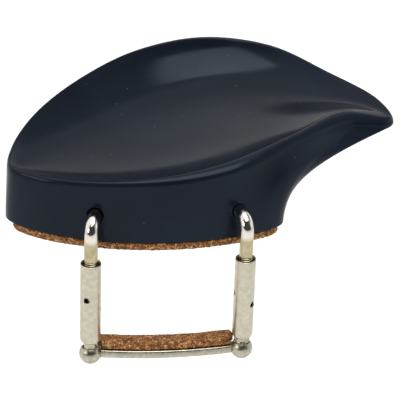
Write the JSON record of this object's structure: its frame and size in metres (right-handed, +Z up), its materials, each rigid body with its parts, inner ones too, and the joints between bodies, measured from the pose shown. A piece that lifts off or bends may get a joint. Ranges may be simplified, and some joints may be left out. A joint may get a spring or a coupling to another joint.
{
  "type": "violin chinrest",
  "caption": "Side-mounted violin chinrest: dished black lacquered cup with rolled lip and pointed wing, cork-lined footing, and a screw clamp with a swivelling cork-lined foot.",
  "frame": {"origin": "on the underside of the upper cork, where it rests on the violin's top, midway between the two clamp barrels and midway across the footing", "axes": "+X along the violin's lower edge towards the tailpiece, where the wing points; +Y inwards over the violin's top, away from the clamp; +Z up from the violin's top"},
  "size_m": [0.1048, 0.0737, 0.0601],
  "materials": {
    "lacquered_wood": "dyed black hardwood under polished lacquer",
    "cork": "raw agglomerated cork, matt",
    "nickel_plate": "bright nickel plate on brass"
  },
  "bodies": {
    "cup_body": {"chin_cup": "lacquered_wood", "upper_cork": "cork", "left_hook": "nickel_plate", "right_hook": "nickel_plate"},
    "swivel_studs": {"left_stud": "nickel_plate", "right_stud": "nickel_plate"},
    "left_nut": {"left_barrel": "nickel_plate"},
    "right_nut": {"right_barrel": "nickel_plate"},
    "clamp_foot": {"foot_plate": "nickel_plate", "foot_cork": "cork"}
  },
  "joints": [
    {"name": "clamp_travel", "type": "slide", "parent": "cup_body", "child": "swivel_studs", "axis": [0, 0, -1], "range_m": [0, 0.015]},
    {"name": "left_barrel_turn", "type": "hinge", "parent": "swivel_studs", "child": "left_nut", "pos_m": [-0.02, -0.01174, -0.013], "axis": [0, 0, -1], "range_deg": [0, 9000]},
    {"name": "right_barrel_turn", "type": "hinge", "parent": "swivel_studs", "child": "right_nut", "pos_m": [0.02, -0.01174, -0.013], "axis": [0, 0, -1], "range_deg": [0, 9000]},
    {"name": "foot_tilt", "type": "hinge", "parent": "swivel_studs", "child": "clamp_foot", "pos_m": [0, -0.01174, -0.0286], "axis": [1, 0, 0], "range_deg": [0, 20]}
  ],
  "couplings": [
    {"joint": "left_barrel_turn", "follows": "clamp_travel", "rad_per_m": 10472},
    {"joint": "right_barrel_turn", "follows": "clamp_travel", "rad_per_m": 10472}
  ]
}
